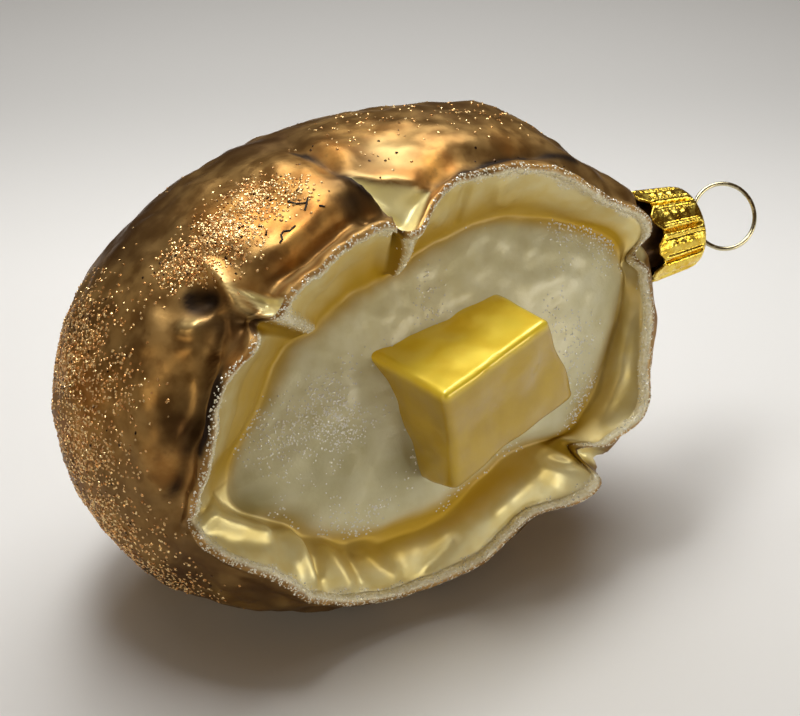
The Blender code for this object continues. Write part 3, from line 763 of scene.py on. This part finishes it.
def make_fibres(skin):
    """Loose dark threads lying on the skin, joined in one mesh."""
    tree = BVHTree.FromPolygons([v.co for v in skin.vertices], [p.vertices for p in skin.polygons])
    middle = BODY_MIDDLE * MM
    bm = bmesh.new()
    for path in FIBRES:
        points = []
        for start, end in zip(path, path[1:]):
            for t in np.linspace(0, 1, 5)[:-1]:
                outwards = BODY_TURN @ Vector(unit(*(np.array(start) * (1 - t) + np.array(end) * t)))
                far = middle + outwards * 2 * HALF_LENGTH * MM
                touched = tree.ray_cast(far, -outwards)[0]
                points.append((touched + outwards * FIBRE_LIFT * MM) / MM)
        thread = make_tube("thread", points, FIBRE_RADIUS, 2)
        bm.from_mesh(thread)
        bpy.data.meshes.remove(thread)
    mesh = bpy.data.meshes.new("dark_fibres")
    bm.to_mesh(mesh)
    bm.free()
    return mesh


# ------------------------------------------------------------------ glitter
def sprinkle(name, mesh, weight, count, size, seed, flat=0.5):
    """Small faceted grains on a surface, thicker where weight is larger, joined in one mesh."""
    rng = np.random.default_rng(seed)
    points = get_points(mesh)
    mesh.calc_loop_triangles()
    corners = np.empty(len(mesh.loop_triangles) * 3, np.int32)
    mesh.loop_triangles.foreach_get("vertices", corners)
    corners = corners.reshape(-1, 3)
    a, b, c = (points[corners[:, i]] for i in range(3))
    across = np.cross(b - a, c - a)
    area = np.linalg.norm(across, axis=1) / 2
    chance = area * weight[corners].mean(1)
    chosen = rng.choice(len(corners), count, p=chance / chance.sum())
    u, v = rng.random((2, count))
    flip = u + v > 1
    u, v = np.where(flip, 1 - u, u), np.where(flip, 1 - v, v)
    places = a[chosen] + (b - a)[chosen] * u[:, None] + (c - a)[chosen] * v[:, None]
    normals = across[chosen] / (2 * area[chosen])[:, None]
    bm = bmesh.new()
    bmesh.ops.create_icosphere(bm, subdivisions=1, radius=1)
    grain = bpy.data.meshes.new("grain")
    bm.to_mesh(grain)
    bm.clear()
    low, high = size
    for place, normal in zip(places, normals):
        lean = Vector(normal) + Vector(rng.normal(0, 0.35, 3))
        turn = lean.to_track_quat("Z", "Y").to_matrix().to_4x4() @ Matrix.Rotation(rng.uniform(0, pi), 4, "Z")
        radius = rng.uniform(low, high) / 2 * MM
        shape = Matrix.Diagonal((radius, radius * rng.uniform(0.7, 1), radius * flat, 1))
        one = grain.copy()
        one.transform(Matrix.Translation(place) @ turn @ shape)
        bm.from_mesh(one)
        bpy.data.meshes.remove(one)
    joined = bpy.data.meshes.new(name)
    bm.to_mesh(joined)
    bm.free()
    bpy.data.meshes.remove(grain)
    return joined


# ------------------------------------------------------------------ finishes
class Finish:
    """One procedural material, built node by node round a Principled shader."""

    def __init__(self, name, **constants):
        self.material = bpy.data.materials.new(name)
        self.material.use_nodes = True
        self.tree = self.material.node_tree
        self.shader = self.tree.nodes["Principled BSDF"]
        for socket, value in constants.items():
            self.shader.inputs[socket.replace("_", " ")].default_value = value
        self.place = self.tree.nodes.new("ShaderNodeTexCoord").outputs["Object"]

    def link(self, value, socket):
        if isinstance(value, bpy.types.NodeSocket):
            self.tree.links.new(value, socket)
        elif isinstance(value, tuple) and len(value) == 3 and socket.type == "RGBA":
            socket.default_value = (*value, 1)
        else:
            socket.default_value = value

    def node(self, kind, settings=None, **inputs):
        node = self.tree.nodes.new("ShaderNode" + kind)
        for key, value in (settings or {}).items():
            setattr(node, key, value)
        for key, value in inputs.items():
            self.link(value, node.inputs[key.replace("_", " ")])
        return node

    def noise(self, size, detail=2.0, rough=0.5):
        """Noise, 0 to 1, whose bumps are about size millimetres across."""
        return self.node("TexNoise", Vector=self.place, Scale=1 / (size * MM), Detail=detail,
                         Roughness=rough).outputs["Fac"]

    def ramp(self, value, low, high, start=0.0, end=1.0):
        node = self.node("MapRange", {"interpolation_type": "SMOOTHSTEP"}, Value=value,
                         From_Min=low, From_Max=high, To_Min=start, To_Max=end)
        return node.outputs["Result"]

    def mix(self, factor, a, b):
        """Colours or numbers between a and b."""
        colour = isinstance(a, tuple) or isinstance(b, tuple) or \
            any(isinstance(v, bpy.types.NodeSocket) and v.type == "RGBA" for v in (a, b))
        node = self.node("Mix", {"data_type": "RGBA" if colour else "FLOAT"})
        offset = 6 if colour else 2
        self.link(factor, node.inputs[0])
        self.link(a, node.inputs[offset])
        self.link(b, node.inputs[offset + 1])
        return node.outputs[2 if colour else 0]

    def maths(self, operation, a, b=0.0, clamp=False):
        node = self.node("Math", {"operation": operation, "use_clamp": clamp})
        self.link(a, node.inputs[0])
        self.link(b, node.inputs[1])
        return node.outputs[0]

    def strengths(self, name):
        colour = self.node("Attribute", {"attribute_name": name}).outputs["Color"]
        parts = self.node("SeparateColor", Color=colour)
        return [parts.outputs[i] for i in range(3)]

    def bump(self, height, strength, distance):
        return self.node("Bump", Height=height, Strength=strength, Distance=distance * MM).outputs["Normal"]

    def set(self, **sockets):
        for socket, value in sockets.items():
            self.link(value, self.shader.inputs[socket.replace("_", " ")])
        return self.material


def painted_glass():
    f = Finish("painted_glass", Specular_Tint=(0.5, 0.36, 0.24, 1), Coat_Roughness=0.2)
    skin, frost, torn = f.strengths("zones")
    # tones: yellow, painted shade, and copper lacquer that is partly painted highlight; marks: painted crease shade,
    # painted highlight, flesh
    yolk, painted_shade, copper_and_highlight = f.strengths("tones_and_painted_light")
    crease_shade, painted_highlight, flesh = f.strengths("painted_light_and_flesh")
    blotch, mottle, speck, grain = f.noise(9, 3), f.noise(3.5, 3), f.noise(1.1, 2), f.noise(0.45, 2)
    olive = f.mix(f.ramp(mottle, 0.35, 0.65), (0.36, 0.20, 0.06), (0.62, 0.38, 0.13))
    copper = f.mix(f.ramp(mottle, 0.35, 0.7), (0.48, 0.18, 0.03), (0.78, 0.38, 0.08))
    # copper lacquer where the skin shines brightest, partly painted highlight
    skin_colour = f.mix(f.maths("MULTIPLY", copper_and_highlight, f.ramp(blotch, 0.25, 0.6), True), olive, copper)
    # painted shade darkens the skin, mixed with random darker blotches of lacquer
    shade = f.maths("ADD", painted_shade, f.maths("MULTIPLY", f.ramp(blotch, 0.62, 0.4), 0.25), True)
    skin_colour = f.mix(f.ramp(f.noise(2.2, 3), 0.54, 0.70, 0.0, 0.5), skin_colour, (0.26, 0.13, 0.04))
    skin_colour = f.mix(shade, skin_colour, (0.10, 0.052, 0.02))
    # painted highlight on the sharpest folds, near-black painted shade in the deepest ones
    skin_colour = f.mix(painted_highlight, skin_colour, (0.98, 0.72, 0.30))
    skin_colour = f.mix(crease_shade, skin_colour, (0.012, 0.006, 0.003))
    pale = f.mix(f.ramp(mottle, 0.3, 0.7), (0.87, 0.84, 0.56), (0.97, 0.955, 0.71))
    # painted shade on the lower flesh
    pale = f.mix(painted_shade, pale, (0.34, 0.31, 0.15))
    cream = f.mix(f.ramp(mottle, 0.3, 0.7), (0.92, 0.78, 0.34), (0.98, 0.90, 0.52))
    inside = f.mix(flesh, cream, pale)
    inside = f.mix(yolk, inside, (0.60, 0.38, 0.025))
    # painted shade on the walls and in the clefts between the flaps
    inside = f.mix(f.maths("MULTIPLY", painted_shade, f.maths("SUBTRACT", 1.0, flesh)), inside, (0.34, 0.20, 0.012))
    silver = f.mix(f.ramp(grain, 0.35, 0.65), (0.78, 0.74, 0.54), (0.96, 0.94, 0.80))
    inside = f.mix(f.maths("MULTIPLY", frost, 0.8), inside, silver)
    colour = f.mix(skin, inside, skin_colour)
    colour = f.mix(torn, colour, (0.98, 0.88, 0.46))
    metallic = f.mix(skin, f.mix(flesh, f.mix(torn, 0.38, 0.45), 0.08), f.mix(painted_shade, 0.72, 0.55))
    metallic = f.mix(f.maths("MULTIPLY", f.maths("ADD", frost, yolk, True), 0.7), metallic, 0.12)
    metallic = f.mix(crease_shade, metallic, 0.1)
    rough = f.mix(skin, f.mix(flesh, f.mix(yolk, 0.38, 0.5), 0.45), f.mix(copper_and_highlight, f.ramp(mottle, 0.3, 0.7, 0.28, 0.44), 0.46))
    rough = f.mix(f.maths("MULTIPLY", frost, 0.8), rough, 0.5)
    rough = f.mix(crease_shade, rough, 0.6)
    coarse = f.maths("MULTIPLY", grain, f.mix(flesh, f.maths("MULTIPLY", frost, 1.0), 0.6))
    height = f.maths("ADD", coarse, f.maths("MULTIPLY", speck, 0.35))
    return f.set(Base_Color=colour, Metallic=metallic, Roughness=rough, Coat_Weight=f.maths("MULTIPLY", flesh, 0.35),
                 Normal=f.bump(height, 0.5, 0.12))


def butter_glaze():
    f = Finish("butter_glaze", Metallic=0.3, Coat_Weight=1.0, Coat_Roughness=0.05, Coat_IOR=1.45)
    mottle = f.noise(5, 3)
    # Painted light: one yellow twice, darker for the shaded sides and lighter for the lit top.
    side = f.mix(f.ramp(mottle, 0.3, 0.7), (0.52, 0.335, 0.013), (0.60, 0.40, 0.02))
    lit_top = f.mix(f.ramp(mottle, 0.3, 0.7), (0.93, 0.66, 0.03), (0.98, 0.76, 0.06))
    colour = f.mix(f.strengths("tones_and_painted_light")[0], side, lit_top)
    wavy = f.noise(1.6, 2)
    return f.set(Base_Color=colour, Roughness=f.ramp(mottle, 0.3, 0.7, 0.34, 0.44),
                 Normal=f.bump(wavy, 0.25, 0.15))


def gilt_foil():
    f = Finish("gilt_foil")
    worn = f.noise(1.4, 3)
    tooth = f.noise(0.5, 2)
    colour = f.mix(f.ramp(worn, 0.35, 0.65), (0.78, 0.50, 0.05), (0.96, 0.74, 0.13))
    return f.set(Base_Color=colour, Metallic=1.0, Roughness=f.ramp(worn, 0.3, 0.7, 0.18, 0.32),
                 Normal=f.bump(tooth, 0.8, 0.14))


def bright_wire():
    f = Finish("bright_wire")
    drawn = f.noise(0.8, 2)
    colour = f.mix(drawn, (0.52, 0.45, 0.26), (0.80, 0.74, 0.52))
    return f.set(Base_Color=colour, Metallic=1.0, Roughness=f.ramp(drawn, 0.3, 0.7, 0.16, 0.3),
                 Normal=f.bump(drawn, 0.1, 0.02))


def glitter_finish(name, first, second, roughness, metallic=1.0):
    f = Finish(name)
    colour = f.mix(f.ramp(f.noise(0.6, 1), 0.35, 0.65), first, second)
    return f.set(Base_Color=colour, Metallic=metallic,
                 Roughness=f.ramp(f.noise(1.5, 1), 0.3, 0.7, roughness, roughness + 0.1))


def dark_thread():
    f = Finish("dark_thread")
    return f.set(Base_Color=f.mix(f.noise(0.7, 1), (0.008, 0.005, 0.003), (0.03, 0.018, 0.012)), Roughness=0.8)


def neck_lacquer():
    f = Finish("neck_lacquer")
    mottle = f.noise(2.5, 3)
    colour = f.mix(f.ramp(mottle, 0.3, 0.7), (0.10, 0.055, 0.03), (0.28, 0.16, 0.06))
    return f.set(Base_Color=colour, Metallic=0.7, Roughness=f.ramp(mottle, 0.3, 0.7, 0.28, 0.4))


# ------------------------------------------------------------------ put together
glass_mesh, made = make_glass()
glass = new_piece("glass_potato_painted", glass_mesh, painted_glass())
butter = new_piece("butter_pat", make_butter(), butter_glaze())
neck = new_piece("glass_neck", make_neck(), neck_lacquer())
for piece in (glass, butter, neck):
    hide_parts("glass_potato")
cap = new_piece("crown_cap", make_cap(), gilt_foil())
solid = cap.modifiers.new("sheet", "SOLIDIFY")
solid.thickness = CAP_WALL * MM
solid.offset = -1
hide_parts("cap")
ring = new_piece("hanging_ring_wire", make_ring(), bright_wire())
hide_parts("hanger_ring")

fibres = new_piece("dark_fibres", make_fibres(glass_mesh), dark_thread())
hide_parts("glass_potato")

# no glitter where the creases carry painted shade
glitter_weight = patches(made["direction"], GLITTER_PATCHES) ** 1.5 * made["skin"] * (1 - made["crease_shade"]) ** 3
copper_grains = sprinkle("glitter_copper", glass_mesh, glitter_weight, 8600, (0.36, 0.58), 11)
dark_grains = sprinkle("glitter_dark", glass_mesh, glitter_weight + 0.02 * made["skin"], 420, (0.3, 0.6), 12)
rim_weight = made["frost"] * (1 - made["skin"]) + 0.0
silver_grains = sprinkle("glitter_silver", glass_mesh, rim_weight, 4600, (0.22, 0.38), 13)
flesh_weight = made["flesh"] * np.clip(0.25 + waves(get_points(glass_mesh) / MM, 8, 9), 0, 1) ** 2
sparkle_grains = sprinkle("glitter_pale", glass_mesh, flesh_weight, 2200, (0.24, 0.42), 14)
for piece in (
        new_piece("glitter_copper", copper_grains, glitter_finish("copper_glitter", (0.74, 0.36, 0.11), (1.0, 0.74, 0.36), 0.2, 0.65)),
        new_piece("glitter_dark", dark_grains, glitter_finish("dark_glitter", (0.03, 0.015, 0.01), (0.12, 0.07, 0.04), 0.3)),
        new_piece("glitter_silver", silver_grains, glitter_finish("silver_glitter", (0.84, 0.80, 0.62), (1.0, 0.98, 0.88), 0.25, 0.45)),
        new_piece("glitter_pale", sparkle_grains, glitter_finish("pale_glitter", (0.96, 0.95, 0.86), (1.0, 1.0, 0.96), 0.2, 0.15))):
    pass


# ------------------------------------------------------------------ stage, light and camera
VIEW_AZIMUTH, VIEW_ELEVATION = radians(-28), radians(30)
VIEW_DISTANCE = 300
AIM = BODY_MIDDLE + Vector((4.417, -2.634, -0.442))
LENS = 93.15


def toward_viewer(azimuth, elevation):
    return Vector((sin(azimuth) * cos(elevation), -cos(azimuth) * cos(elevation), sin(elevation)))


def make_camera():
    data = bpy.data.cameras.new("camera")
    data.lens = LENS
    data.sensor_width = 36
    data.clip_start = 0.01
    data.clip_end = 20
    camera = bpy.data.objects.new("camera", data)
    back = toward_viewer(VIEW_AZIMUTH, VIEW_ELEVATION)
    camera.location = (AIM + back * VIEW_DISTANCE) * MM
    camera.rotation_euler = (-back).to_track_quat("-Z", "Y").to_euler()
    bpy.context.scene.collection.objects.link(camera)
    bpy.context.scene.camera = camera


FLOOR_REACH = 1.6


def make_stage():
    """A wide pale floor, darkened by painted shade well behind the object."""
    bm = bmesh.new()
    bmesh.ops.create_grid(bm, x_segments=1, y_segments=1, size=FLOOR_REACH)
    mesh = bpy.data.meshes.new("floor")
    bm.to_mesh(mesh)
    bm.free()
    floor = bpy.data.objects.new("floor", mesh)
    f = Finish("pale_board")
    shade = f.noise(60, 2)
    pale = f.mix(shade, (0.80, 0.797, 0.78), (0.83, 0.825, 0.81))
    across, away, _ = f.node("SeparateXYZ", Vector=f.place).outputs
    # painted shade: the floor turns grey well behind the object, where less light falls
    far = f.ramp(f.maths("ADD", f.maths("MULTIPLY", across, 0.5), away), 0.09, 0.21)
    mesh.materials.append(f.set(Base_Color=f.mix(far, pale, (0.60, 0.598, 0.585)), Roughness=0.6))
    bpy.context.scene.collection.objects.link(floor)


def add_light(name, place, aim, size, power, colour, spread=180):
    data = bpy.data.lights.new(name, "AREA")
    data.spread = radians(spread)
    data.shape = "RECTANGLE"
    data.size, data.size_y = size
    data.energy = power
    data.color = colour
    light = bpy.data.objects.new(name, data)
    light.location = place
    light.rotation_euler = (Vector(aim) - Vector(place)).to_track_quat("-Z", "Y").to_euler()
    bpy.context.scene.collection.objects.link(light)


TOP_POWER, BACK_POWER, SOFT_POWER, CARD_POWER, LEFT_POWER, ROOM_STRENGTH = 0.20, 0.38, 0.10, 1.05, 0.09, 0.06


def make_lights():
    add_light("top_strip", (-0.03, 0.055, 0.33), (0.0, 0.025, 0), (0.18, 0.07), TOP_POWER, (1, 1, 0.99), 120)
    add_light("back_strip", (0.12, 0.15, 0.32), (0.05, 0.08, 0), (0.30, 0.16), BACK_POWER, (1, 1, 0.99), 120)
    add_light("softbox", (0.02, 0.08, 0.36), (0.02, 0.08, 0), (0.50, 0.40), SOFT_POWER, (0.98, 1, 1), 100)
    add_light("left_card", (-0.42, -0.18, 0.16), (-0.03, 0, 0.03), (0.25, 0.2), LEFT_POWER, (1.0, 0.84, 0.6), 100)
    add_light("front_card", (0.38, -0.55, 0.08), (0, 0, 0.04), (0.4, 0.15), CARD_POWER, (1.0, 0.95, 0.82))
    world = bpy.data.worlds.new("room")
    world.use_nodes = True
    background = world.node_tree.nodes["Background"]
    background.inputs["Color"].default_value = (1.0, 0.58, 0.28, 1)
    background.inputs["Strength"].default_value = ROOM_STRENGTH
    bpy.context.scene.world = world


make_camera()
make_stage()
make_lights()
bpy.context.scene.view_settings.view_transform = "Standard"
